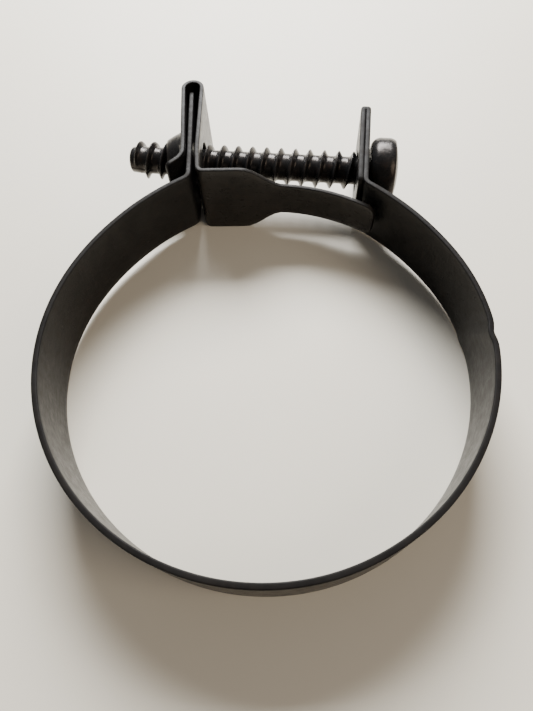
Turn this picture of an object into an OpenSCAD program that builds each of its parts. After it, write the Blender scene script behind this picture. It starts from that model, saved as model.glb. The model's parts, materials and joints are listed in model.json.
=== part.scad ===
// Screw band hose clamp, lying open. A steel strip is bent to a ring with an ear at each end.
// A folded nut clip hooks over the left ear and runs on as a bridge under the gap between the
// ears, and a coarse sheet-metal screw pulls the right ear towards the clip.
// The springy strip is cut at the lines where it flexes, so that each length is a rigid body.
//
// Frame: origin at the centre of the bore, halfway across the band. +Z runs along the hose,
// +X along the screw towards its head, +Y from the centre of the bore to the screw.

/* [Band] */
// Diameter of the hose that the open ring holds
hose_d = 50.8; // [50.4:0.1:51.2]
// Width of the strip, along the hose
band_w = 9.5; // [9.2:0.1:12]
// Thickness of the band's sheet
band_t = 0.7; // [0.6:0.05:0.7]
// Height of the right ear's folded top edge above the centre of the bore
right_ear_top = 38.45; // [37:0.05:40]
// Height of the left ear's cut end above the centre of the bore
left_ear_top = 40; // [37:0.1:40.4]
// Lean of the left ear, away from the screw's head, in degrees
left_ear_lean = 7.8; // [7.4:0.1:8.2]

/* [Nut clip and bridge] */
// Width of the clip's strip, a little more than the band's
clip_w = 11.2; // [10:0.1:11.6]
// Thickness of the clip's sheet
clip_t = 0.6; // [0.5:0.05:0.6]
// Length of the clip's straight inner leg, from the bridge's bend to the fold
inner_leg = 14.5; // [14.3:0.05:15.2]
// Length of the clip's straight outer leg, from the fold to the flared lip
outer_leg = 11.95; // [11.6:0.05:12.2]
// Radius of the fold over the left ear, at the middle of the sheet
fold_r = 1.34; // [1.3:0.01:1.4]
// Length of the straight end of the flared lip
lip_len = 1.7; // [1:0.1:2.2]
// Width of the tongue at the bridge's free end
tongue_w = 5.2; // [4.4:0.1:7]
// Angle of the tongue's tip round the bore, from +X, in degrees
tongue_tip = 60.6; // [60.4:0.1:66]
// Height of the conical boss that holds the screw's thread, from the middle of the outer leg
boss_h = 3; // [2:0.1:3]

/* [Screw] */
// Outer diameter of the thread
thread_d = 5.2; // [5:0.1:5.3]
// Diameter at the root of the thread
root_d = 3.7; // [3.4:0.1:3.8]
// Distance from one thread crest to the next
pitch = 2.06; // [1.8:0.01:2.4]
// Length under the head
screw_len = 34.5; // [34:0.1:38]
// Diameter of the pan head
head_d = 9.2; // [8.5:0.1:9.2]
// Height of the pan head
head_h = 4.05; // [3.4:0.05:4.3]

/* [Hidden] */

$fn = 96;
nothing = 0.01;          // overlap that joins two stretches of one strip
far = 100;               // longer than anything in the part
black_steel = [0.13, 0.13, 0.14];
black_screw = [0.2, 0.2, 0.21];

bore_r = hose_d / 2;
band_mid = bore_r + band_t / 2;
screw_rise = 5.4;        // from the bore's circle up to the screw's axis
screw_y = bore_r + screw_rise;
hole_d = 5.6;            // clearance holes in the ears and the inner leg
fit = 0.05;              // radial clearance round the thread in the boss
hole_len = 7;            // long enough to cut through a leaning sheet, or the boss
ear_hole_x = -13.8;      // where the screw passes the left ear
leg_hole_x = -12.4;      // and the clip's inner leg

// The ring is a true circle from circle_from round the bottom to circle_to. Above that, each
// side swings outward on a wider arc, which leaves room for the tongue inside the right ear.
circle_from = 160;
circle_to = 35;
left_swing = 5.7;        // how much wider the left arc is than the circle
right_swing = 10;        // the same on the right
left_centre = -left_swing * unit(circle_from);
right_centre = -right_swing * unit(circle_to);
left_mid = band_mid + left_swing;
right_mid = band_mid + right_swing;

// The ears' bends, as angles round their wide arcs
root_bend = 1.2;         // radius of both bends, at the middle of the sheet
left_bend_x = -13.3;     // where the left bend starts
right_ear_x = 10.8;      // middle of the right ear's outer layer
left_root = acos((left_bend_x - left_centre.x) / left_mid);
right_root = acos((right_ear_x + root_bend - right_centre.x) / (right_mid + root_bend));

// The band's flex lines: beside the ears, at the sides and low on the ring
ear_flex_x = 14.4;
left_flex = acos((-ear_flex_x - left_centre.x) / (left_mid + band_t / 2));
right_flex = acos((ear_flex_x - right_centre.x) / (right_mid + band_t / 2));
side_flex = 180;
low_flex = 240;
right_low_flex = 540 - low_flex;    // the same lines, mirrored
right_side_flex = 540 - side_flex;

// The bridge leaves the clip along a straight line that meets the bore's circle
bridge_mid = bore_r + clip_t / 2;
bridge_slope = 5.5;      // the straight stretch rises towards the screw's head
bridge_meets = 90 + bridge_slope;
bridge_straight = 8.56;  // from the clip's bend to the circle
clip_bend = 0.8;         // radius of the bend between clip and bridge
inner_lean = 5.8;        // lean of the inner leg from +Y
outer_lean = 9.4;        // lean of the outer leg from +Y
lip_bend = 2.2;          // radius of the lip's flare
lip_turn = 50.6;         // how far the lip turns outward
taper_from = -5.9;       // the bridge keeps its full width up to here
taper_to = -0.2;         // and is down to the tongue's width here
tip_corner = 1.2;        // cut corners of the tongue's tip

under_head = 11.5;       // where the head meets the ear
recess_w = 1.1;          // width of the cross recess's arms
recess_span = 4.8;       // span of the arms at the mouth
recess_h = 2;            // depth of the recess
recess_foot = 2.2;       // span of the arms at its floor
boss_top_r = 3.05;       // outer radius of the boss's open end
boss_slope = 0.45;       // how fast the boss widens towards the leg
crown_r = 14;            // radius of the head's domed top
head_edge = 1.6;         // rounding between the crown and the side
head_foot = 1.3;         // rounding under the head
ridge_base = 1.1;        // width of the thread's ridge at its root
ridge_crest = 0.2;       // width of its crest
ridge_sink = 0.15;       // how deep the ridge is sunk in the core
ridge_steps = 14;        // steps of the ridge in one turn
ridge_gap = 0.1;         // between the head and the start of the ridge
fade_turns = 0.75;       // turns in which the ridge grows to its height at either end
fade_start = 0.2;        // share of that height at its very end
tip_taper = 0.6;         // length of the blunt, tapered tip
tip_d = 3.3;             // diameter of the flat end

function unit(a) = [cos(a), sin(a)];

// Where a path that is at p, heading h, has got to after a straight stretch
function ahead(p, h, len) = p + len * unit(h);
// and after a bend of radius r through turn degrees, to the left when turn is above zero
function bent(p, h, r, turn) =
  let (side = sign(turn))
  p + r * side * [sin(h + turn) - sin(h), cos(h) - cos(h + turn)];

// A curved length of strip, from angle a to angle b round a centre
module arc_strip(centre, mid_r, t, a, b) {
  steps = 8;
  translate(centre)
    intersection() {
      difference() {
        circle(r = mid_r + t / 2, $fn = 180);
        circle(r = mid_r - t / 2, $fn = 180);
      }
      polygon(concat([[0, 0]], [for (i = [0:steps]) 2 * mid_r * unit(a + (b - a) * i / steps)]));
    }
}

// A straight length of strip that starts at p
module bar_strip(p, h, len, t) {
  translate(p)
    rotate(h)
      translate([0, -t / 2])
        square([len, t]);
}

// A bend that starts at p
module bend_strip(p, h, r, turn, t) {
  side = sign(turn);
  centre = p + r * side * unit(h + 90);
  start = h - 90 * side;
  arc_strip(centre, r, t, start, start + turn);
}

module strip(w) {
  linear_extrude(w, center = true)
    children();
}

// A hole for the screw through any sheet near x
module screw_hole(x, d) {
  translate([x, screw_y, 0])
    rotate([0, 90, 0])
      cylinder(h = hole_len, d = d, center = true);
}

// The band's left end: the bend at its root and the ear inside the clip
module band_left_ear() {
  start = left_centre + left_mid * unit(left_root);
  heading = left_root - 90;
  turn = 90 + left_ear_lean - heading;
  top = bent(start, heading, root_bend, turn);
  ear_len = (left_ear_top - top.y) / cos(left_ear_lean);
  color(black_steel)
    difference() {
      strip(band_w)
        union() {
          arc_strip(left_centre, left_mid, band_t, left_root - nothing, left_flex);
          bend_strip(start, heading, root_bend, turn + nothing, band_t);
          bar_strip(top, heading + turn, ear_len, band_t);
        }
      screw_hole(ear_hole_x, hole_d);
    }
}

module band_left_side() {
  color(black_steel)
    strip(band_w)
      union() {
        arc_strip(left_centre, left_mid, band_t, left_flex, circle_from + nothing);
        arc_strip([0, 0], band_mid, band_t, circle_from, side_flex);
      }
}

// The round lengths of the ring
module round_length(a, b) {
  color(black_steel)
    strip(band_w)
      arc_strip([0, 0], band_mid, band_t, a, b);
}

module band_lower_left() {
  round_length(side_flex, low_flex);
}

module band_bottom() {
  round_length(low_flex, right_low_flex);
}

module band_lower_right() {
  round_length(right_low_flex, right_side_flex);
}

module band_right_side() {
  color(black_steel)
    strip(band_w)
      union() {
        arc_strip([0, 0], band_mid, band_t, right_side_flex - 360, circle_to);
        arc_strip(right_centre, right_mid, band_t, circle_to - nothing, right_flex);
      }
}

// The band's right end, folded back on itself so that the ear under the head is double
module band_right_ear() {
  start = right_centre + right_mid * unit(right_root);
  heading = right_root + 90;
  root = bent(start, heading, root_bend, -right_root);
  fold_y = right_ear_top - band_t;
  ear_len = fold_y - root.y;
  seam_x = root.x - band_t / 2;
  color(black_steel)
    difference() {
      strip(band_w)
        union() {
          arc_strip(right_centre, right_mid, band_t, right_flex, right_root + nothing);
          bend_strip(start, heading, root_bend, -right_root - nothing, band_t);
          bar_strip([seam_x, root.y], 90, ear_len, 2 * band_t);
          translate([seam_x, fold_y])
            circle(r = band_t, $fn = 48);
        }
      screw_hole(seam_x, hole_d);
    }
}

// The clip: a hairpin over the left ear, with a flared lip, a threaded boss in its outer leg
// and a clearance hole in its inner leg
module nut_clip() {
  corner = ahead(bridge_mid * unit(bridge_meets), 180 + bridge_slope, bridge_straight);
  bend_h = 180 + bridge_slope;
  up_h = 90 + inner_lean;
  foot = bent(corner, bend_h, clip_bend, up_h - bend_h);
  fold = ahead(foot, up_h, inner_leg);
  down_h = 270 + outer_lean;
  knee = bent(fold, up_h, fold_r, down_h - up_h);
  flare = ahead(knee, down_h, outer_leg);
  lip = bent(flare, down_h, lip_bend, -lip_turn);
  boss_x = flare.x - (screw_y - flare.y) * tan(outer_lean);
  color(black_steel)
    difference() {
      union() {
        strip(clip_w)
          union() {
            bend_strip(corner, bend_h, clip_bend, up_h - bend_h, clip_t);
            bar_strip(ahead(foot, up_h, -nothing), up_h, inner_leg + 2 * nothing, clip_t);
            bend_strip(fold, up_h, fold_r, down_h - up_h, clip_t);
            bar_strip(ahead(knee, down_h, -nothing), down_h, outer_leg + 2 * nothing, clip_t);
            bend_strip(flare, down_h, lip_bend, -lip_turn, clip_t);
            bar_strip(ahead(lip, down_h - lip_turn, -nothing), down_h - lip_turn, lip_len, clip_t);
          }
        intersection() {
          boss(boss_x - boss_h, boss_top_r);
          strip(clip_w)
            translate(flare)
              rotate(down_h)
                translate([-far, -far])
                  square([2 * far, far]);
        }
      }
      boss(boss_x - boss_h - nothing, boss_top_r - clip_t * norm([1, boss_slope]));
      screw_hole(boss_x, thread_d + 2 * fit);
      screw_hole(leg_hole_x, hole_d);
    }
}

// A cone round the screw's axis that widens from radius r at x to the clip's inner leg
module boss(x, r) {
  h = boss_h + clip_t;
  translate([x, screw_y, 0])
    rotate([0, 90, 0])
      cylinder(h = h, r1 = r, r2 = r + boss_slope * h);
}

// Half the bridge's width at a place along it, which narrows smoothly to the tongue
function half_width(x) =
  let (u = min(1, max(0, (x - taper_from) / (taper_to - taper_from))))
  (clip_w + (tongue_w - clip_w) * u * u * (3 - 2 * u)) / 2;

// The bridge under the gap, from the clip's bend to the tongue inside the right ear's root
module bridge_tongue() {
  meets = bridge_mid * unit(bridge_meets);
  tip_x = (bridge_mid + clip_t / 2) * cos(tongue_tip);
  steps = 12;
  taper = [for (i = [0:steps]) taper_from + (taper_to - taper_from) * i / steps];
  edge = concat(
    [[-far / 2, clip_w / 2]],
    [for (x = taper) [x, half_width(x)]],
    [[tip_x - tip_corner, tongue_w / 2], [tip_x + nothing, tongue_w / 2 - tip_corner]]
  );
  back = [for (i = [len(edge) - 1:-1:0]) [edge[i].x, -edge[i].y]];
  color(black_steel)
    intersection() {
      strip(clip_w)
        union() {
          bar_strip(meets + nothing * unit(bridge_slope), 180 + bridge_slope,
            bridge_straight + nothing, clip_t);
          arc_strip([0, 0], bridge_mid, clip_t, tongue_tip, bridge_meets);
        }
      rotate([90, 0, 0])
        linear_extrude(far, center = true)
          polygon(concat(edge, back));
    }
}

// The thread's ridge: a flat-topped rib wound to the right round the core
module ridge(from_x, to_x) {
  turns = (from_x - to_x) / pitch;
  steps = round(turns * ridge_steps);
  core_r = root_d / 2 - ridge_sink;
  fade = ridge_steps * fade_turns;
  function crest_r(i) =
    core_r + (thread_d / 2 - core_r) * min(1, fade_start + min(i, steps - i) / fade);
  function rib(i) =
    let (a = 360 * i / ridge_steps, x = from_x - i * pitch / ridge_steps)
    [
      for (p = [
        [-ridge_base / 2, core_r], [-ridge_crest / 2, crest_r(i)],
        [ridge_crest / 2, crest_r(i)], [ridge_base / 2, core_r]
      ])
      [x + p.x, p.y * cos(a), -p.y * sin(a)]
    ];
  points = [for (i = [0:steps]) each rib(i)];
  sides = [
    for (i = [0:steps - 1], j = [0:3])
    let (k = (j + 1) % 4)
    each [
      [4 * i + j, 4 * i + 4 + j, 4 * i + k],
      [4 * i + k, 4 * i + 4 + j, 4 * i + 4 + k]
    ]
  ];
  ends = [[0, 1, 2, 3], [for (j = [3:-1:0]) 4 * steps + j]];
  polyhedron(points, concat(sides, ends), convexity = 10);
}

// Half the section of the pan head, with its underside on the X axis
module head_section() {
  intersection() {
    union() {
      square([head_d / 2 - head_edge, head_h]);
      square([head_d / 2 - head_foot, head_h / 2]);
      translate([0, head_foot])
        square([head_d / 2, head_h - head_edge - head_foot]);
      translate([head_d / 2 - head_foot, head_foot])
        circle(r = head_foot, $fn = 48);
      translate([head_d / 2 - head_edge, head_h - head_edge])
        circle(r = head_edge, $fn = 48);
    }
    translate([0, head_h - crown_r])
      circle(r = crown_r, $fn = 180);
    square([head_d, head_h]);
  }
}

module screw() {
  color(black_screw)
    translate([under_head, screw_y, 0])
      union() {
        rotate([0, 90, 0])
          difference() {
            rotate_extrude()
              head_section();
            translate([0, 0, head_h - recess_h])
              intersection() {
                cylinder(h = 2 * recess_h, d1 = recess_foot, d2 = 2 * recess_span - recess_foot);
                for (a = [0, 90])
                  rotate(a)
                    translate([-far / 2, -recess_w / 2, 0])
                      cube([far, recess_w, 2 * recess_h]);
              }
          }
        rotate([0, -90, 0])
          translate([0, 0, -nothing])
            cylinder(h = screw_len - tip_taper + 2 * nothing, d = root_d);
        rotate([0, -90, 0])
          translate([0, 0, screw_len - tip_taper])
            cylinder(h = tip_taper, d1 = root_d, d2 = tip_d);
        ridge(-ridge_base / 2 - ridge_gap, -screw_len + tip_taper + ridge_base / 2);
      }
}

band_left_ear();
band_left_side();
band_lower_left();
band_bottom();
band_lower_right();
band_right_side();
band_right_ear();
nut_clip();
bridge_tongue();
screw();
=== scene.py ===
"""Looks for an open screw band hose clamp: the springy band, the folded nut clip with its bridge,
and the sheet-metal screw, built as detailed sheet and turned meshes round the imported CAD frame.

Lengths are in millimetres while a mesh is worked out, and become metres in new_piece().
"""

import json
import math

import bmesh
import bpy
from mathutils import Euler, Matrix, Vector, noise


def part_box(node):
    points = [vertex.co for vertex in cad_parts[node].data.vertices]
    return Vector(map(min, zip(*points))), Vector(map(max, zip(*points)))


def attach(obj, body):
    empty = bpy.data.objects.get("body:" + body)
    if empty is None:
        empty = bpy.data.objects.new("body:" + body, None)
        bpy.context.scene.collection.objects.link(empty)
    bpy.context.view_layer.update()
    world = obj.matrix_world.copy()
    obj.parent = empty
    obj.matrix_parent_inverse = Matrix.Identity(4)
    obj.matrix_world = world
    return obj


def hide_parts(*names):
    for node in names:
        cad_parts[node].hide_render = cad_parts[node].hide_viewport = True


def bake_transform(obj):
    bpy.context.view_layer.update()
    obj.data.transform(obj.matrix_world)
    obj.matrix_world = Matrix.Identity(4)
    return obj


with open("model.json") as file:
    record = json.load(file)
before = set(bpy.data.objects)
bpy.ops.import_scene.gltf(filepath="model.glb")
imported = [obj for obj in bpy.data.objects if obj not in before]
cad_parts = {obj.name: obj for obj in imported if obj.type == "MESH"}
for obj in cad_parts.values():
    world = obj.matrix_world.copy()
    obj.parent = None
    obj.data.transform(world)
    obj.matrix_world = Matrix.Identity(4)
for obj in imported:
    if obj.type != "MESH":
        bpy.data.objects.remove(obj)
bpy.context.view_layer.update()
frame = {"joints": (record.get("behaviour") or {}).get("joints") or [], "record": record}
MM = 0.001

# ---------------------------------------------------------------- sizes

MOUNTS = {m["name"]: m for m in frame["record"]["mounts"]}
JOINTS = {j["name"]: j for j in frame["joints"]}

BORE_R = MOUNTS["hose_bore"]["dims"]["r_mm"]
WIDTH = MOUNTS["hose_bore"]["dims"]["length_mm"]
HALF = WIDTH / 2
UNDER_HEAD = JOINTS["screw_turn"]["pos_m"][0] / MM
SCREW_Y = JOINTS["screw_turn"]["pos_m"][1] / MM
HOLE_R = 2.8             # clearance holes for the screw
SCREW_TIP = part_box("screw")[0].x / MM
HEAD_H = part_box("screw")[1].x / MM - UNDER_HEAD
HEAD_R = (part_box("screw")[1].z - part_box("screw")[0].z) / MM / 2

# The band: a circle with a wider arc at each end, a bend at each ear's root
BAND_T = 0.7
BAND_MID = BORE_R + BAND_T / 2
CIRCLE_FROM = 160        # degrees round the bore, from +X
CIRCLE_TO = 35
LEFT_SWING = 5.7         # how much wider the end arcs are than the circle
RIGHT_SWING = 10
ROOT_BEND = 1.2
LEFT_BEND_X = -13.3
LEFT_LEAN = 7.8
LEFT_EAR_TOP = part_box("band_left_ear")[1].y / MM
RIGHT_EAR_X = 10.8
RIGHT_EAR_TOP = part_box("band_right_ear")[1].y / MM
FOLD_GAP = 0.02          # between the layers of the folded right ear
FOLD_FOLLOWS = 15        # degrees of the root's bend that the folded layer follows

# The clip and its bridge
CLIP_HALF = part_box("nut_clip")[1].z / MM
CLIP_T = 0.6
BRIDGE_MID = BORE_R + CLIP_T / 2
TONGUE_TIP = 60.6
BRIDGE_SLOPE = 5.5
BRIDGE_STRAIGHT = 8.56
CLIP_BEND = 0.8
INNER_LEAN = 5.8
OUTER_LEAN = 9.4
INNER_LEG = 14.5
OUTER_LEG = 11.95
FOLD_R = 1.34
LIP_BEND = 2.2
LIP_TURN = 50.6
LIP_LEN = 1.7
TONGUE_W = 5.2
TAPER_FROM = -5.9
TAPER_TO = -0.2
BOSS_H = 2.7             # height of the boss's mouth over the middle of the leg
BOSS_TOP_R = 2.85        # middle of the sheet at the mouth
BOSS_FOOT_R = 4.2
BOSS_WALL = 0.18         # half the wall at the mouth, thinned by the drawing
BRIDGE_SAG = 0.75        # how far the springy bridge hangs inside the circle of the bore
LEG_GIVES = 2.4          # length of the inner leg's foot that follows it

# The screw
PITCH = 2.06
ROOT_R = 1.86
CREST_R = 2.6
THREAD_START = 0.05      # how far inside the head the first turn is measured from
THREAD_TURNS = 16
THREAD_TOP = UNDER_HEAD - 0.4
THREAD_FADE_IN = 0.5     # turns over which the thread rises below the head
THREAD_FADE_OUT = 0.25   # and turns over which it dies out at the tip
HEAD_KNEE = 1.9          # from the head and from the tip to where the turns are drawn together
TIP_KNEE = 1.4
TIP_CLEAR = 0.25         # from the tip to the end of the thread
THREAD_PHASE = 180       # degrees round the shank where the thread starts and ends


def unit(degrees):
    a = math.radians(degrees)
    return Vector((math.cos(a), math.sin(a)))


def smooth(u):
    u = min(1.0, max(0.0, u))
    return u * u * (3 - 2 * u)


def spread(low, high, count):
    """count steps from low to high, both ends included."""
    return [low + (high - low) * i / count for i in range(count + 1)]


# ---------------------------------------------------------------- plane paths


class Path:
    """A strip's middle line in the XY plane: straight stretches and bends, one after another."""

    def __init__(self, start, heading):
        self.parts = []
        self.at = Vector(start)
        self.heading = heading
        self.length = 0.0

    def ahead(self, length):
        self.parts.append((self.length, length, self.at.copy(), self.heading, 0.0))
        self.at = self.at + length * unit(self.heading)
        self.length += length
        return self

    def bend(self, radius, turn):
        """Turns to the left when turn, in degrees, is above zero."""
        length = radius * math.radians(abs(turn))
        self.parts.append((self.length, length, self.at.copy(), self.heading, turn))
        side = math.copysign(1, turn)
        centre = self.at + side * radius * unit(self.heading + 90)
        self.heading += turn
        self.at = centre - side * radius * unit(self.heading + 90)
        self.length += length
        return self

    def place(self, s):
        """The point at s along the path, and the heading there."""
        for begin, length, at, heading, turn in self.parts:
            if s <= begin + length:
                break
        along = s - begin
        if turn == 0.0:
            return at + along * unit(heading), heading
        radius = length / math.radians(abs(turn))
        side = math.copysign(1, turn)
        now = heading + turn * along / length
        centre = at + side * radius * unit(heading + 90)
        return centre - side * radius * unit(now + 90), now

    def stations(self, from_s, to_s, step, bend_step):
        """Places along the path, no further apart than step, nor than bend_step degrees."""
        out = [from_s]
        for begin, length, _, _, turn in self.parts:
            count = math.ceil(max(length / step, abs(turn) / bend_step, 1))
            out += [s for s in spread(begin, begin + length, count) if from_s < s < to_s]
        return thinned(out + [to_s])


def thinned(places, least=0.03):
    """Places in order, without those that stand closer than least before another."""
    places = sorted(places)
    kept = [b for a, b in zip(places[1:], places[:-1]) if a - b > least]
    return kept + [places[-1]]


# ---------------------------------------------------------------- sheet metal

PATCH_SLACK = 0.001      # for rounding errors where the edge of a hole's patch is looked for


class Sheet:
    """A strip of sheet metal that follows a path. s runs along it and v across it, along Z."""

    def __init__(self, path, half, thick, corner, rows, shift=None, bulge=None):
        self.path = path
        self.half = half          # s -> half the width
        self.thick = thick        # s, v -> half the thickness
        self.corner = corner      # rounding of the sheared edges
        self.rows = rows          # places across the strip, as shares of its half width
        self.shift = shift        # s, v, point, normal -> how far the middle is pushed
        self.bulge = bulge        # s -> extra thickness on the right-hand side

    def middle(self, s, v):
        at, heading = self.path.place(s)
        point = Vector((at.x, at.y, v))
        if self.shift is None:
            return point
        normal = unit(heading + 90).to_3d()
        return point + self.shift(s, v, point, normal)

    def axes(self, s, v):
        """Unit vectors along the strip, across it, and out of its left-hand face."""
        reach = 0.01
        along = (self.middle(s + reach, v) - self.middle(s - reach, v)).normalized()
        across = (self.middle(s, v + reach) - self.middle(s, v - reach)).normalized()
        return along, across, across.cross(along).normalized()

    def face_point(self, s, v, face):
        """A point of the left-hand face when face is 1, or of the right-hand face at -1."""
        return self.rim_point(s, v, face, Vector((0, 0)), 0.0)

    def rim_point(self, s, v, face, outward, angle):
        """A point of the rounded rim: angle is 0 on the face and 90 on the sheared edge."""
        along, across, normal = self.axes(s, v)
        depth = self.thick(s, v)
        if self.bulge is not None and face < 0:
            depth += self.bulge(s)
        a = math.radians(angle)
        sink = depth - self.corner * (1 - math.cos(a))
        out = self.corner * math.sin(a)
        side = outward.x * along + outward.y * across
        return self.middle(s, v) + face * sink * normal + out * side


class SheetMesh:
    """Builds the two faces, the holes and the rounded rim of one length of a Sheet."""

    RIM_ANGLES = (30, 60, 90)

    def __init__(self, sheet, stations, holes, open_start, open_end):
        self.sheet = sheet
        self.bm = bmesh.new()
        self.rim = self.bm.verts.layers.float.new("rim")
        self.strip = self.bm.verts.layers.float_vector.new("strip_at")
        self.stations = stations
        self.faces_of(holes)
        self.outer_rim(open_start, open_end)
        bmesh.ops.recalc_face_normals(self.bm, faces=self.bm.faces)

    def add(self, point, s, v, rim=0.0):
        vert = self.bm.verts.new(point)
        vert[self.rim] = rim
        vert[self.strip] = Vector((s, v, 0))
        return vert

    def pair(self, s, v):
        """The two vertices, one on each face, at a place on the strip."""
        verts = [self.add(self.sheet.face_point(s, v, face), s, v) for face in (1, -1)]
        return verts, s, v

    def quad(self, a, b, c, d):
        """A quad on each face, between four pairs."""
        for face in (0, 1):
            self.bm.faces.new([p[0][face] for p in (a, b, c, d)])

    def faces_of(self, holes):
        rows = self.sheet.rows
        inside = {}
        for hole in holes:
            reach = hole["patch"] + PATCH_SLACK
            half = self.sheet.half(hole["s"])
            columns = [i for i, s in enumerate(self.stations) if abs(s - hole["s"]) < reach]
            ranks = [j for j, r in enumerate(rows) if abs(r) * half < reach]
            hole["columns"] = (columns[0], columns[-1])
            hole["ranks"] = (ranks[0], ranks[-1])
            for i in range(columns[0], columns[-1]):
                for j in range(ranks[0], ranks[-1]):
                    inside[i, j] = True
        self.grid = {}
        last_i, last_j = len(self.stations) - 1, len(rows) - 1
        for i in range(last_i + 1):
            for j in range(last_j + 1):
                around = [(i + a, j + b) for a in (-1, 0) for b in (-1, 0)]
                if all(cell in inside for cell in around):
                    continue
                s = self.stations[i]
                self.grid[i, j] = self.pair(s, rows[j] * (self.sheet.half(s) - self.sheet.corner))
        for i in range(last_i):
            for j in range(last_j):
                if (i, j) not in inside:
                    corners = ((i, j), (i + 1, j), (i + 1, j + 1), (i, j + 1))
                    self.quad(*[self.grid[c] for c in corners])
        for hole in holes:
            self.hole(hole)

    def hole(self, hole):
        """Rings of quads between a square patch of the grid and a round hole."""
        (i0, i1), (j0, j1) = hole["columns"], hole["ranks"]
        edge = [(i, j0) for i in range(i0, i1)] + [(i1, j) for j in range(j0, j1)]
        edge += [(i, j1) for i in range(i1, i0, -1)] + [(i0, j) for j in range(j1, j0, -1)]
        outer = [self.grid[e] for e in edge]
        rim_r = hole["r"] + self.sheet.corner
        ring = outer
        for share in hole["rings"]:
            inner = []
            for pair in outer:
                out = Vector((pair[1] - hole["s"], pair[2]))
                r = rim_r + (out.length - rim_r) * share
                spot = out.normalized() * r
                inner.append(self.pair(hole["s"] + spot.x, spot.y))
            self.band_of(ring, inner)
            ring = inner
        directions = [Vector((hole["s"] - p[1], -p[2])).normalized() for p in ring]
        self.round_rim(ring, directions, closed=True)

    def band_of(self, ring_a, ring_b):
        count = len(ring_a)
        for k in range(count):
            n = (k + 1) % count
            self.quad(ring_a[k], ring_a[n], ring_b[n], ring_b[k])

    def round_rim(self, loop, directions, closed):
        """Rounds the sheared edge from one face to the other along a loop of pairs."""
        columns = []
        for (verts, s, v), out in zip(loop, directions):
            column = [verts[0]]
            for face, angles in ((1, self.RIM_ANGLES), (-1, self.RIM_ANGLES[::-1])):
                for angle in angles:
                    point = self.sheet.rim_point(s, v, face, out, angle)
                    column.append(self.add(point, s, v, rim=angle / 90))
            columns.append(column + [verts[1]])
        pairs = list(zip(columns, columns[1:] + columns[:1]))
        for a, b in pairs if closed else pairs[:-1]:
            for k in range(len(a) - 1):
                self.bm.faces.new([a[k], b[k], b[k + 1], a[k + 1]])
        return columns

    def outer_rim(self, open_start, open_end):
        """The rim along both sides, and round each end that isn't a seam with the next length."""
        last_i, last_j = len(self.stations) - 1, len(self.sheet.rows) - 1
        low = [(i, 0) for i in range(last_i + 1)]
        high = [(i, last_j) for i in range(last_i, -1, -1)]
        end = [] if open_end else [(last_i, j) for j in range(1, last_j)]
        start = [] if open_start else [(0, j) for j in range(last_j - 1, 0, -1)]
        if open_start and open_end:
            runs = [low, high]
        elif open_end:
            runs = [high + start + low]
        else:
            runs = [low + end + high]
        closed = not open_start and not open_end
        if closed:
            runs = [low + end + high + start]
        columns = {}
        for run in runs:
            loop = [self.grid[k] for k in run]
            made = self.round_rim(loop, self.directions(loop, closed), closed)
            columns.update(zip(run, made))
        for is_open, i in ((open_start, 0), (open_end, last_i)):
            if is_open:
                self.cap(i, columns[i, 0], columns[i, last_j])

    def directions(self, loop, closed):
        """Outward directions along a loop that runs anticlockwise in (s, v)."""
        out = []
        count = len(loop)
        for k in range(count):
            a = loop[k - 1] if closed or k > 0 else None
            b = loop[(k + 1) % count] if closed or k < count - 1 else None
            here = Vector(loop[k][1:])
            sides = []
            if a is not None:
                sides.append((here - Vector(a[1:])).normalized())
            if b is not None:
                sides.append((Vector(b[1:]) - here).normalized())
            tangent = sum(sides, Vector((0, 0))).normalized()
            out.append(Vector((tangent.y, -tangent.x)))
        return out

    def cap(self, i, low, high):
        """Closes the strip's section at a seam."""
        for j in range(len(self.sheet.rows) - 1):
            a, b = self.grid[i, j][0], self.grid[i, j + 1][0]
            self.bm.faces.new([a[0], b[0], b[1], a[1]])
        for column in (low, high):
            self.bm.faces.new(column)


def rounded_ends(half, start, end, radius):
    """Half width of a strip whose corners at start and end are rounded in plan, or None for a seam."""
    def shaped(s):
        width = half(s)
        for place, way in ((start, 1), (end, -1)):
            if place is not None:
                inside = max(0.0, (s - place) * way)
                if inside < radius:
                    width -= radius - math.sqrt(max(0.0, radius ** 2 - (radius - inside) ** 2))
        return width
    return shaped


def end_stations(place, way, radius):
    """Places near a rounded end, closer together towards it."""
    return [place + way * radius * (1 - math.cos(math.radians(a))) for a in range(0, 91, 15)]


def patch_rows(half, corner, patch, count):
    """Rows across a strip with even steps in the middle for a hole's patch, as shares."""
    flat = half - corner
    return [-1.0] + [v / flat for v in spread(-patch, patch, count)] + [1.0]


def with_patch(stations, hole, count):
    """Stations with even steps across a hole's patch."""
    low, high = hole["s"] - hole["patch"], hole["s"] + hole["patch"]
    outside = [s for s in stations if s < low - 0.05 or s > high + 0.05]
    return sorted(outside + spread(low, high, count))


def new_piece(name, bm, sharp=38):
    """A mesh object in metres from a bmesh in millimetres."""
    bmesh.ops.scale(bm, vec=(MM, MM, MM), verts=bm.verts)
    mesh = bpy.data.meshes.new(name)
    bm.to_mesh(mesh)
    bm.free()
    mesh.shade_smooth()
    mesh.set_sharp_from_angle(angle=math.radians(sharp))
    piece = bpy.data.objects.new(name, mesh)
    bpy.context.scene.collection.objects.link(piece)
    return piece


# ---------------------------------------------------------------- the band

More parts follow.
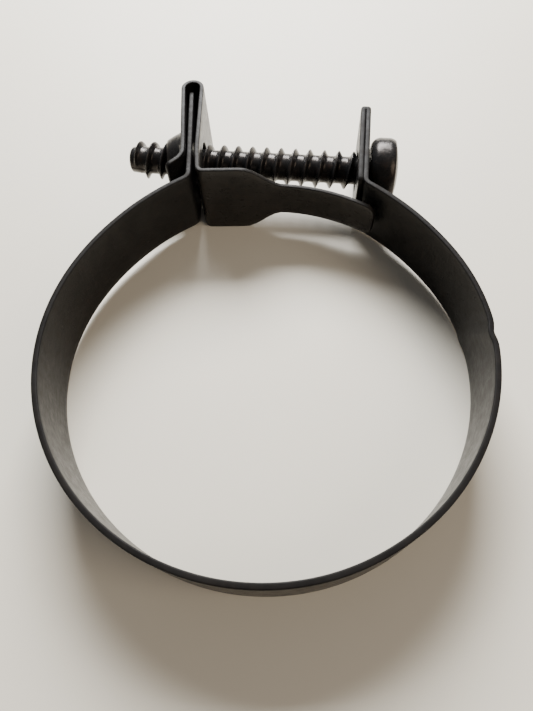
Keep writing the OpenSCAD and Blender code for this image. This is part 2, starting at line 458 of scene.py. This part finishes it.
BAND_CORNER = 0.16
BAND_WAVE = 0.035        # waviness of the springy strip
EAR_ROUND = 0.5          # corners of the strip's cut ends, in plan
SEAM_ANGLES = (210, 270, 330, 387)   # degrees round the bore, between the strip's lengths
FLEX_ANGLES = (180, 240, 300, 360)
FLEX_HALF = 24           # degrees to each side of a flex angle that its span reaches
PATCH_STEPS = 12
EAR_PATCH = 3.9
EAR_RINGS = (0.6, 0.3, 0.1, 0.0)
DENT_AT = 11.5           # degrees round the bore: a small slanting crease in the right side
DENT_SLANT = 4.5         # how much lower it starts on the near edge than halfway across
DENT_WIDE = 2.0
DENT_DEEP = 0.3


def band_path():
    """From the left ear's cut end down, round the ring, up the right ear and down its fold."""
    left_centre = -LEFT_SWING * unit(CIRCLE_FROM)
    right_centre = -RIGHT_SWING * unit(CIRCLE_TO)
    left_mid, right_mid = BAND_MID + LEFT_SWING, BAND_MID + RIGHT_SWING
    left_root = math.degrees(math.acos((LEFT_BEND_X - left_centre.x) / left_mid))
    reach = RIGHT_EAR_X + ROOT_BEND - right_centre.x
    right_root = math.degrees(math.acos(reach / (right_mid + ROOT_BEND)))

    ear = Path(left_centre + left_mid * unit(left_root), left_root - 90)
    turn = 180 + LEFT_LEAN - left_root
    ear.bend(ROOT_BEND, turn)
    ear_len = (LEFT_EAR_TOP - ear.at.y) / math.cos(math.radians(LEFT_LEAN))
    ear.ahead(ear_len)

    path = Path(ear.at, ear.heading + 180)
    path.ahead(ear_len).bend(ROOT_BEND, -turn)
    path.bend(left_mid, CIRCLE_FROM - left_root)
    path.bend(BAND_MID, 360 + CIRCLE_TO - CIRCLE_FROM)
    path.bend(right_mid, right_root - CIRCLE_TO)
    path.bend(ROOT_BEND, -right_root)
    fold_y = RIGHT_EAR_TOP - BAND_T
    rise = fold_y - path.at.y
    fold_r = (BAND_T + FOLD_GAP) / 2
    path.ahead(rise).bend(fold_r, 180).ahead(rise)
    path.bend(ROOT_BEND + 2 * fold_r, FOLD_FOLLOWS)
    return path


BAND = band_path()
LEFT_ARC = BAND.parts[2]
CIRCLE = BAND.parts[3]
RIGHT_ARC = BAND.parts[4]
RIGHT_RISE, RIGHT_FOLD, RIGHT_DROP = BAND.parts[6:9]


def round_place(angle):
    """s at an angle round the ring's circle."""
    return CIRCLE[0] + BAND_MID * math.radians(angle - CIRCLE_FROM)


def place_at_height(part, y):
    """s on a straight part of the band's path where it has that height."""
    begin, _, at, heading, _ = part
    return begin + (y - at.y) / math.sin(math.radians(heading))


def band_shift(s, v, point, normal):
    """Slight waviness of the springy strip, and the crease in its right side."""
    wave = BAND_WAVE * noise.noise(Vector((point.x * 0.11, point.y * 0.11, v * 0.05 + 3)))
    turn = math.degrees((s - CIRCLE[0]) / BAND_MID) + CIRCLE_FROM - 360
    off = (turn - DENT_AT + DENT_SLANT * v / HALF) / DENT_WIDE
    dent = DENT_DEEP * math.exp(-off * off) * (0.75 + 0.25 * v / HALF)
    return normal * (wave + dent)


def fold_bulge(s):
    """The pressed fold has a flatter top than a round one."""
    begin, length = RIGHT_FOLD[:2]
    if not begin < s < begin + length:
        return 0.0
    a = math.pi * (s - begin) / length
    power = 3.2
    box = (abs(math.cos(a)) ** power + abs(math.sin(a)) ** power) ** (-1 / power)
    return (BAND_T + FOLD_GAP / 2) * (box - 1)


def build_band():
    flat_half = rounded_ends(lambda s: HALF, 0.0, BAND.length, EAR_ROUND)
    sheet = Sheet(
        BAND, flat_half, lambda s, v: BAND_T / 2, BAND_CORNER,
        patch_rows(HALF, BAND_CORNER, EAR_PATCH, PATCH_STEPS), band_shift, fold_bulge,
    )
    holes = [
        {"s": place_at_height(part, SCREW_Y), "r": HOLE_R, "patch": EAR_PATCH, "rings": EAR_RINGS}
        for part in (BAND.parts[0], RIGHT_RISE, RIGHT_DROP)
    ]
    seams = [0.0, LEFT_ARC[0] + 0.7 * LEFT_ARC[1]]
    seams += [round_place(a) for a in SEAM_ANGLES]
    seams.append(BAND.length)
    flexes = flex_spans()
    names = ("left_ear", "upper_left", "lower_left", "lower_right", "upper_right", "right_ear")
    nodes = (
        ("band_left_ear",), ("band_left_side",), ("band_lower_left",),
        ("band_bottom", "band_lower_right"), ("band_right_side",), ("band_right_ear",),
    )
    pieces = []
    for k, name in enumerate(names):
        low, high = seams[k], seams[k + 1]
        stations = BAND.stations(low, high, 1.2, 1.2 if 0 < k < 5 else 7.5)
        mine = [h for h in holes if low < h["s"] < high]
        if k == 0:
            stations = thinned(stations + end_stations(0.0, 1, EAR_ROUND))
        if k == 5:
            stations = thinned(stations + end_stations(BAND.length, -1, EAR_ROUND))
        for hole in mine:
            stations = with_patch(stations, hole, PATCH_STEPS)
        made = SheetMesh(sheet, stations, mine, open_start=k > 0, open_end=k < 5)
        piece = new_piece("band_" + name + "_strip", made.bm)
        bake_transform(piece)
        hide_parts(*nodes[k])
        pieces.append(piece)
    return pieces


def flex_spans():
    """Places, in metres, that bound a span round each flex angle on the band's lengths; build_band works
    them out but does not use them.
    """
    spans = [(LEFT_ARC[0] + 0.6, LEFT_ARC[0] + 0.55 * LEFT_ARC[1])]
    spans += [(round_place(a - FLEX_HALF), round_place(a + FLEX_HALF)) for a in FLEX_ANGLES]
    spans.append((RIGHT_ARC[0] - 2, RIGHT_ARC[0] + RIGHT_ARC[1] - 0.6))
    return [[BAND.place(s)[0].to_3d() * MM for s in span] for span in spans]


# ---------------------------------------------------------------- the clip and its bridge

CLIP_CORNER = 0.13
CLIP_WAVE = 0.02
NARROWS_BY = 8           # how far up the bridge's straight stretch it has its full width
BOSS_EASE = 0.1          # how far past its mouth's radius the boss's slope runs on
BOSS_ROUND = 0.3         # share of the boss's slope that is rounded
CLIP_PATCH = 4.35
BOSS_RINGS = (0.92, 0.84, 0.72, 0.6, 0.48, 0.36, 0.24, 0.12, 0.0)
TIP_ROUND = 1.2
LIP_ROUND = 0.6


def clip_path():
    """From the tongue's tip back along the bridge, up, over the left ear and down to the lip."""
    path = Path(BRIDGE_MID * unit(TONGUE_TIP), TONGUE_TIP + 90)
    path.bend(BRIDGE_MID, 90 + BRIDGE_SLOPE - TONGUE_TIP).ahead(BRIDGE_STRAIGHT)
    path.bend(CLIP_BEND, INNER_LEAN - BRIDGE_SLOPE - 90).ahead(INNER_LEG)
    path.bend(FOLD_R, 180 + OUTER_LEAN - INNER_LEAN).ahead(OUTER_LEG)
    path.bend(LIP_BEND, -LIP_TURN).ahead(LIP_LEN)
    return path


CLIP = clip_path()
INNER = CLIP.parts[3]
OUTER = CLIP.parts[5]
BOSS_S = place_at_height(OUTER, SCREW_Y)


def bridge_half(s):
    """Half the clip's width, which narrows smoothly to the tongue."""
    if s > CLIP.parts[1][0] + NARROWS_BY:
        return CLIP_HALF
    x = CLIP.place(s)[0].x
    narrow = smooth((x - TAPER_FROM) / (TAPER_TO - TAPER_FROM))
    return CLIP_HALF + (TONGUE_W / 2 - CLIP_HALF) * narrow


def boss_rise(s, v):
    """How far the boss is drawn out of the leg, as a share of its height."""
    d = math.hypot(s - BOSS_S, v)
    u = min(1.0, max(0.0, (BOSS_FOOT_R - d) / (BOSS_FOOT_R - BOSS_TOP_R + BOSS_EASE)))
    return (1 - BOSS_ROUND) * u + BOSS_ROUND * smooth(u)


def clip_shift(s, v, point, normal):
    wave = CLIP_WAVE * noise.noise(Vector((point.x * 0.2, point.y * 0.2, v * 0.1 + 9)))
    push = normal * wave
    leg_at = INNER[0]
    if s < leg_at + LEG_GIVES:
        inward = Vector((-point.x, -point.y, 0)).normalized()
        push = push + inward * BRIDGE_SAG * smooth((leg_at + LEG_GIVES - s) / LEG_GIVES)
    if abs(s - BOSS_S) < CLIP_PATCH:
        push = push + Vector((-BOSS_H * boss_rise(s, v), 0, 0))
    return push


def clip_thick(s, v):
    if abs(s - BOSS_S) < CLIP_PATCH:
        return CLIP_T / 2 + (BOSS_WALL - CLIP_T / 2) * boss_rise(s, v)
    return CLIP_T / 2


def build_clip():
    half = rounded_ends(rounded_ends(bridge_half, 0.0, None, TIP_ROUND), None, CLIP.length, LIP_ROUND)
    sheet = Sheet(
        CLIP, half, clip_thick, CLIP_CORNER,
        patch_rows(CLIP_HALF, CLIP_CORNER, CLIP_PATCH, PATCH_STEPS), clip_shift,
    )
    boss = {"s": BOSS_S, "r": BOSS_TOP_R - BOSS_WALL, "patch": CLIP_PATCH, "rings": BOSS_RINGS}
    clearance = {
        "s": place_at_height(INNER, SCREW_Y), "r": HOLE_R, "patch": CLIP_PATCH, "rings": EAR_RINGS,
    }
    stations = CLIP.stations(0.0, CLIP.length, 1.0, 6)
    stations += end_stations(0.0, 1, TIP_ROUND) + end_stations(CLIP.length, -1, LIP_ROUND)
    stations = thinned(stations)
    for hole in (boss, clearance):
        stations = with_patch(stations, hole, PATCH_STEPS)
    made = SheetMesh(sheet, stations, [boss, clearance], open_start=False, open_end=False)
    piece = new_piece("nut_clip_and_bridge", made.bm)
    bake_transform(piece)
    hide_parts("nut_clip", "bridge_tongue")
    return piece


# ---------------------------------------------------------------- the screw

SIDES = 64
HEAD_EDGE = 1.6
HEAD_FOOT = 1.3
CROWN_R = 14
RECESS_DEPTH = 2.0
RECESS_MOUTH = (2.4, 0.58)   # reach and half width of the cross's arms at the mouth
RECESS_FLOOR = (1.1, 0.42)
TIP_TAPER = 0.6
TIP_R = 1.68
# The thread's section over one pitch: distance from the crest as a share of the pitch, and rise
THREAD_SECTION = (
    (-0.50, 0.0), (-0.36, 0.0), (-0.27, 0.03), (-0.2, 0.16), (-0.11, 0.6), (-0.045, 0.93),
    (-0.014, 1.0), (0.014, 1.0), (0.045, 0.93), (0.11, 0.6), (0.2, 0.16), (0.27, 0.03), (0.36, 0.0),
)


def round_point(x, r, j, sides=SIDES):
    a = 2 * math.pi * j / sides + math.radians(THREAD_PHASE)
    return Vector((x, SCREW_Y + r * math.cos(a), r * math.sin(a)))


def root_radius(x):
    past = (SCREW_TIP + TIP_TAPER - x) / TIP_TAPER
    return ROOT_R + (TIP_R - ROOT_R) * max(0.0, past)


def squeezed(x, first_x, low_x):
    """Draws the thread's first and last turns together, so that it stops short of head and tip."""
    head_end = (UNDER_HEAD - HEAD_KNEE, THREAD_TOP, first_x)
    tip_end = (SCREW_TIP + TIP_KNEE, SCREW_TIP + TIP_CLEAR, low_x)
    for knee, end, limit in (head_end, tip_end):
        if (x - knee) * (limit - knee) > 0:
            return knee + (x - knee) * (end - knee) / (limit - knee)
    return x


def thread_into(bm, wear):
    """A helical surface whose turns share their vertices. Returns its first and last rings."""
    per_turn = len(THREAD_SECTION)
    first_x = UNDER_HEAD + THREAD_START
    count = THREAD_TURNS * per_turn
    low_x = first_x - PITCH * (THREAD_TURNS + 1)
    lines = []
    for i in range(count + 1):
        share, rise = THREAD_SECTION[i % per_turn]
        line = []
        for j in range(SIDES):
            x = first_x - PITCH * (i // per_turn + share + 0.5 + j / SIDES)
            x = squeezed(x, first_x, low_x)
            along = i // per_turn + j / SIDES
            grow = smooth(along / THREAD_FADE_IN)
            grow *= smooth((THREAD_TURNS - along) / THREAD_FADE_OUT)
            base = root_radius(x)
            ripple = 0.02 * noise.noise(Vector((x * 0.9, j * 0.15, i * 0.3)))
            r = base + (CREST_R - ROOT_R + ripple) * rise * grow
            vert = bm.verts.new(round_point(x, r, j))
            vert[wear] = rise ** 3 * grow
            line.append(vert)
        lines.append(line)
    for i in range(count):
        for j in range(SIDES):
            if j < SIDES - 1:
                bm.faces.new([lines[i][j], lines[i][j + 1], lines[i + 1][j + 1], lines[i + 1][j]])
            elif i + 1 + per_turn <= count:
                a, b = lines[i + per_turn][0], lines[i + 1 + per_turn][0]
                bm.faces.new([lines[i][j], a, b, lines[i + 1][j]])
    start = [bm.verts.new(round_point(THREAD_TOP + 0.08, ROOT_R, j)) for j in range(SIDES)]
    end_x = SCREW_TIP + 0.22
    end = [bm.verts.new(round_point(end_x, root_radius(end_x), j)) for j in range(SIDES)]
    for j in range(SIDES - 1):
        bm.faces.new([start[j], start[j + 1], lines[0][j + 1], lines[0][j]])
        bm.faces.new([end[j], end[j + 1], lines[count][j + 1], lines[count][j]])
    seam = [lines[i][0] for i in range(per_turn + 1)]
    bm.faces.new([start[-1], start[0], *seam, lines[0][-1]])
    seam = [lines[i][0] for i in range(count, count - per_turn, -1)]
    ragged = [lines[i][-1] for i in range(count - per_turn, count + 1)]
    bm.faces.new([end[-1], end[0], *seam, *ragged])
    return start, end


def lathe_into(bm, ring, section):
    """Carries on from a ring through a section of (x, r), to a point if r is 0."""
    for x, r in section:
        if r == 0:
            tip = bm.verts.new((x, SCREW_Y, 0))
            for j in range(SIDES):
                bm.faces.new([ring[j], ring[(j + 1) % SIDES], tip])
            return
        new = [bm.verts.new(round_point(x, r, j)) for j in range(SIDES)]
        for j in range(SIDES):
            n = (j + 1) % SIDES
            bm.faces.new([ring[j], ring[n], new[n], new[j]])
        ring = new


def head_section():
    """From the shank out under the head, round its edge, and over the crown to the axis."""
    arc = [math.radians(a) for a in range(0, 91, 10)]
    points = [(0.25, ROOT_R), (0.07, ROOT_R + 0.02), (0.0, ROOT_R + 0.12), (0.0, 2.3), (0.0, 2.9)]
    points = [(-x, r) for x, r in points]
    foot_r = HEAD_R - HEAD_FOOT
    points += [(HEAD_FOOT - HEAD_FOOT * math.cos(a), foot_r + HEAD_FOOT * math.sin(a)) for a in arc]
    edge_x, edge_r = HEAD_H - HEAD_EDGE, HEAD_R - HEAD_EDGE
    crown_x = HEAD_H - CROWN_R
    for a in arc[:-1]:
        x, r = edge_x + HEAD_EDGE * math.sin(a), edge_r + HEAD_EDGE * math.cos(a)
        if math.hypot(x - crown_x, r) > CROWN_R:
            break
        points.append((x, r))
    rim = points[-1][1] - 0.12
    for share in (1.0, 0.92, 0.84, 0.72, 0.6, 0.45, 0.3, 0.15, 0.0):
        r = rim * share
        points.append((crown_x + math.sqrt(CROWN_R ** 2 - r * r), r))
    return [(UNDER_HEAD + x, r) for x, r in points]


def cross_cutter():
    """A tapered cross that cuts the recess, as a mesh object."""
    bm = bmesh.new()
    layers = []
    top = UNDER_HEAD + HEAD_H
    for depth in (RECESS_DEPTH, -RECESS_DEPTH):
        share = (RECESS_DEPTH - depth) / RECESS_DEPTH
        reach = RECESS_FLOOR[0] + (RECESS_MOUTH[0] - RECESS_FLOOR[0]) * share
        wide = RECESS_FLOOR[1] + (RECESS_MOUTH[1] - RECESS_FLOOR[1]) * share
        ring = []
        for arm in range(4):
            a = math.radians(90 * arm)
            for p, q in ((reach, -wide), (reach, wide), (wide, wide)):
                y, z = p * math.cos(a) - q * math.sin(a), p * math.sin(a) + q * math.cos(a)
                ring.append(bm.verts.new((top - depth, SCREW_Y + y, z)))
        layers.append(ring)
    low, high = layers
    for k in range(len(low)):
        n = (k + 1) % len(low)
        bm.faces.new([low[k], low[n], high[n], high[k]])
    bm.faces.new(low)
    bm.faces.new(high)
    bmesh.ops.recalc_face_normals(bm, faces=bm.faces)
    mesh = bpy.data.meshes.new("cutter")
    bm.to_mesh(mesh)
    bm.free()
    cutter = bpy.data.objects.new("cutter", mesh)
    bpy.context.scene.collection.objects.link(cutter)
    return cutter


def cut(bm, cutter):
    """The bmesh with the cutter's shape taken away."""
    mesh = bpy.data.meshes.new("whole")
    bm.to_mesh(mesh)
    bm.free()
    whole = bpy.data.objects.new("whole", mesh)
    bpy.context.scene.collection.objects.link(whole)
    boolean = whole.modifiers.new("cut", "BOOLEAN")
    boolean.operation = "DIFFERENCE"
    boolean.solver = "EXACT"
    boolean.object = cutter
    done = bmesh.new()
    done.from_object(whole, bpy.context.evaluated_depsgraph_get())
    for o in (whole, cutter):
        bpy.data.objects.remove(o)
    return done


def soften_recess(bm):
    """Small rounds on the recess's sharp edges."""
    floor = UNDER_HEAD + HEAD_H - RECESS_DEPTH - 0.1
    picked = []
    for e in bm.edges:
        near = all(v.co.x > floor and math.hypot(v.co.y - SCREW_Y, v.co.z) < 2.9 for v in e.verts)
        if near and len(e.link_faces) == 2 and e.calc_face_angle(0) > math.radians(35):
            picked.append(e)
    bmesh.ops.bevel(
        bm, geom=picked, offset=0.07, segments=2, profile=0.5, affect="EDGES", clamp_overlap=True,
    )


def build_screw():
    bm = bmesh.new()
    wear = bm.verts.layers.float.new("rim")
    start, end = thread_into(bm, wear)
    lathe_into(bm, start, head_section())
    tip = [(SCREW_TIP + 0.12, root_radius(SCREW_TIP) - 0.03), (SCREW_TIP + 0.03, TIP_R - 0.12)]
    tip += [(SCREW_TIP, TIP_R - 0.3), (SCREW_TIP, 0.8), (SCREW_TIP + 0.04, 0)]
    lathe_into(bm, end, tip)
    bmesh.ops.recalc_face_normals(bm, faces=bm.faces)
    bm = cut(bm, cross_cutter())
    soften_recess(bm)
    piece = new_piece("sheet_metal_screw", bm, sharp=50)
    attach(piece, "screw")
    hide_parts("screw")
    return piece


# ---------------------------------------------------------------- materials


class Nodes:
    """Short names for building a material's nodes."""

    def __init__(self, name):
        self.material = bpy.data.materials.new(name)
        self.material.use_nodes = True
        self.tree = self.material.node_tree
        self.shader = self.tree.nodes["Principled BSDF"]

    def add(self, kind, inputs=None, **settings):
        node = self.tree.nodes.new("ShaderNode" + kind)
        for key, value in settings.items():
            setattr(node, key, value)
        for key, value in (inputs or {}).items():
            self.set(node.inputs[key], value)
        return node

    def set(self, socket, value):
        if isinstance(value, bpy.types.NodeSocket):
            self.tree.links.new(value, socket)
        else:
            socket.default_value = value

    def math(self, operation, a, b=0.0, clamp=False):
        node = self.add("Math", {0: a, 1: b}, operation=operation, use_clamp=clamp)
        return node.outputs[0]

    def noise(self, at, scale, detail=4.0, rough=0.55, distortion=0.0):
        inputs = {"Vector": at, "Scale": scale, "Detail": detail, "Roughness": rough}
        inputs["Distortion"] = distortion
        return self.add("TexNoise", inputs).outputs["Fac"]

    def ramp(self, value, low, high, to_low=0.0, to_high=1.0):
        inputs = {"Value": value, 1: low, 2: high, 3: to_low, 4: to_high}
        return self.add("MapRange", inputs, interpolation_type="SMOOTHSTEP").outputs[0]

    def mix(self, factor, a, b):
        inputs = {0: factor, 6: a, 7: b}
        return self.add("Mix", inputs, data_type="RGBA").outputs[2]

    def stretch(self, at, scale):
        return self.add("Mapping", {"Vector": at, "Scale": scale}).outputs[0]

    def attribute(self, name, output="Fac"):
        return self.add("Attribute", attribute_name=name).outputs[output]


def colour(r, g, b):
    return (r, g, b, 1.0)


def black_steel(name, look):
    """Blackened sheet steel: mottled, faintly streaked along the strip, worn on its edges."""
    n = Nodes(name)
    at = n.add("TexCoord").outputs["Object"]
    at = n.stretch(at, (1000, 1000, 1000))
    strip = n.attribute("strip_at", "Vector") if look["streaks"] else at
    clouds = n.noise(at, 0.16, 3.0, 0.6, 0.4)
    patches = n.noise(at, 0.9, 5.0, 0.62, 0.2)
    grain = n.noise(at, 14.0, 3.0, 0.6)
    drawn = (0.12, 6.0, 1.0) if look["streaks"] else (0.6, 0.6, 0.6)
    lines = n.noise(n.stretch(strip, drawn), 1.0, 4.0, 0.7)
    rim = n.attribute("rim")

    base = n.mix(n.ramp(clouds, 0.35, 0.68), look["dark"], look["pale"])
    base = n.mix(n.math("MULTIPLY", n.ramp(patches, 0.5, 0.75), 0.55), base, look["brown"])
    base = n.mix(n.math("MULTIPLY", n.ramp(lines, 0.45, 0.8), 0.35), base, look["pale"])
    worn = n.math("MULTIPLY", n.ramp(rim, 0.25, 1.0), n.ramp(patches, 0.22, 0.6, 0.5, 1.0))
    base = n.mix(n.math("MULTIPLY", worn, look["wear"]), base, look["edge"])
    specks = n.ramp(n.noise(at, 5.5, 2.0, 0.5), 0.72, 0.78)
    base = n.mix(n.math("MULTIPLY", specks, 0.5), base, look["dust"])
    n.set(n.shader.inputs["Base Color"], base)

    uneven = n.math("ADD", n.math("MULTIPLY", patches, 0.6), n.math("MULTIPLY", lines, 0.4))
    rough = n.ramp(uneven, 0.3, 0.7, *look["rough"])
    rough = n.math("ADD", rough, n.math("MULTIPLY", n.ramp(rim, 0.1, 0.9), look["rim_rough"]))
    rough = n.math("ADD", rough, n.math("MULTIPLY", specks, 0.2), clamp=True)
    n.set(n.shader.inputs["Roughness"], rough)
    n.shader.inputs["Metallic"].default_value = look["metallic"]
    n.set(n.shader.inputs["Specular IOR Level"], n.ramp(rim, 0.1, 0.9, *look["specular"]))
    n.shader.inputs["Specular Tint"].default_value = look["tint"]

    height = n.math("ADD", n.math("MULTIPLY", grain, 0.5), n.math("MULTIPLY", lines, 0.5))
    fine = n.add("Bump", {"Strength": look["bump"], "Distance": 0.00003, "Height": height})
    broad = n.add("Bump", {"Strength": 0.25, "Distance": 0.0002, "Height": patches,
                           "Normal": fine.outputs[0]})
    n.set(n.shader.inputs["Normal"], broad.outputs[0])
    return n.material


BAND_LOOK = {
    "dark": colour(0.006, 0.006, 0.0065), "pale": colour(0.013, 0.0125, 0.0125),
    "brown": colour(0.02, 0.0145, 0.011), "edge": colour(0.018, 0.0155, 0.0135),
    "dust": colour(0.05, 0.045, 0.04), "wear": 0.5, "rough": (0.26, 0.44), "metallic": 0.0,
    "specular": (0.22, 0.06), "tint": colour(1.0, 0.95, 0.9), "bump": 0.35, "streaks": True,
    "rim_rough": 0.12,
}
CLIP_LOOK = dict(
    BAND_LOOK, pale=colour(0.017, 0.0155, 0.0145), brown=colour(0.024, 0.016, 0.011),
    rough=(0.24, 0.4), specular=(0.28, 0.08),
)
SCREW_LOOK = dict(
    BAND_LOOK, streaks=False, brown=colour(0.03, 0.017, 0.012), edge=colour(0.045, 0.043, 0.043),
    rough=(0.2, 0.36), bump=0.25, rim_rough=0.0, specular=(0.27, 0.3),
    tint=colour(1.0, 0.86, 0.76),
)


def paint(pieces, material):
    for piece in pieces:
        piece.data.materials.clear()
        piece.data.materials.append(material)


# ---------------------------------------------------------------- floor, light and camera

CLIP_FOOT = CLIP.place(CLIP.parts[2][0])[0]    # where the clip stands on the floor
FLOOR_REACH = 3.0        # metres each way
FLOOR_GAP = 0.00002      # metres below the edges that rest on it


def build_floor():
    """A plain pale floor that touches the clip's lower edge and the far side of the ring.

    The clip is wider than the band, so the floor leans a little against the ring.
    """
    lean = (CLIP_HALF - HALF) / (BORE_R + BAND_T + CLIP_FOOT.length)
    towards = CLIP_FOOT.normalized()
    mesh = bpy.data.meshes.new("floor")
    corners = [(x * FLOOR_REACH, y * FLOOR_REACH) for x, y in ((-1, -1), (1, -1), (1, 1), (-1, 1))]
    drops = [lean * (Vector(c).dot(towards) + (BORE_R + BAND_T) * MM) for c in corners]
    places = [(x, y, -HALF * MM - FLOOR_GAP - drop) for (x, y), drop in zip(corners, drops)]
    mesh.from_pydata(places, [], [(0, 1, 2, 3)])
    floor = bpy.data.objects.new("floor", mesh)
    bpy.context.scene.collection.objects.link(floor)
    n = Nodes("pale_floor")
    at = n.stretch(n.add("TexCoord").outputs["Object"], (1000, 1000, 1000))
    soft = n.noise(at, 0.05, 3.0)
    n.set(n.shader.inputs["Base Color"], n.mix(soft, colour(0.78, 0.715, 0.59), colour(0.82, 0.755, 0.63)))
    n.shader.inputs["Roughness"].default_value = 0.55
    paint([floor], n.material)


def area_light(name, place, target, size, watts, tint):
    light = bpy.data.lights.new(name, "AREA")
    light.shape = "RECTANGLE"
    light.size, light.size_y = size
    light.energy = watts
    light.color = tint
    lamp = bpy.data.objects.new(name, light)
    bpy.context.scene.collection.objects.link(lamp)
    lamp.location = place
    lamp.rotation_euler = (Vector(target) - Vector(place)).to_track_quat("-Z", "Y").to_euler()


def build_light():
    world = bpy.data.worlds.new("studio")
    bpy.context.scene.world = world
    world.use_nodes = True
    background = world.node_tree.nodes["Background"]
    background.inputs["Color"].default_value = (0.95, 0.96, 1.0, 1.0)
    background.inputs["Strength"].default_value = 0.15
    area_light("window", (-0.04, 0.27, 0.19), (0, 0.01, 0), (0.2, 0.14), 4.0, (0.96, 0.98, 1.0))
    area_light("room", (0.38, -0.12, 0.36), (0, 0, 0), (0.3, 0.3), 1.15, (1.0, 0.86, 0.7))


def build_camera():
    camera = bpy.data.cameras.new("camera")
    camera.lens = 28.25
    camera.sensor_width = 36
    camera.clip_start = 0.001
    seer = bpy.data.objects.new("camera", camera)
    bpy.context.scene.collection.objects.link(seer)
    seer.location = Vector((5.739, -29.208, 60.004)) * MM
    seer.rotation_euler = Euler([math.radians(a) for a in (26.54, 2.23, 6.19)], "XYZ")
    bpy.context.scene.camera = seer


build_camera()
build_light()
build_floor()
band = build_band()
clip = build_clip()
screw = build_screw()
paint(band, black_steel("black_band_steel", BAND_LOOK))
paint([clip], black_steel("black_clip_steel", CLIP_LOOK))
paint([screw], black_steel("black_screw_steel", SCREW_LOOK))
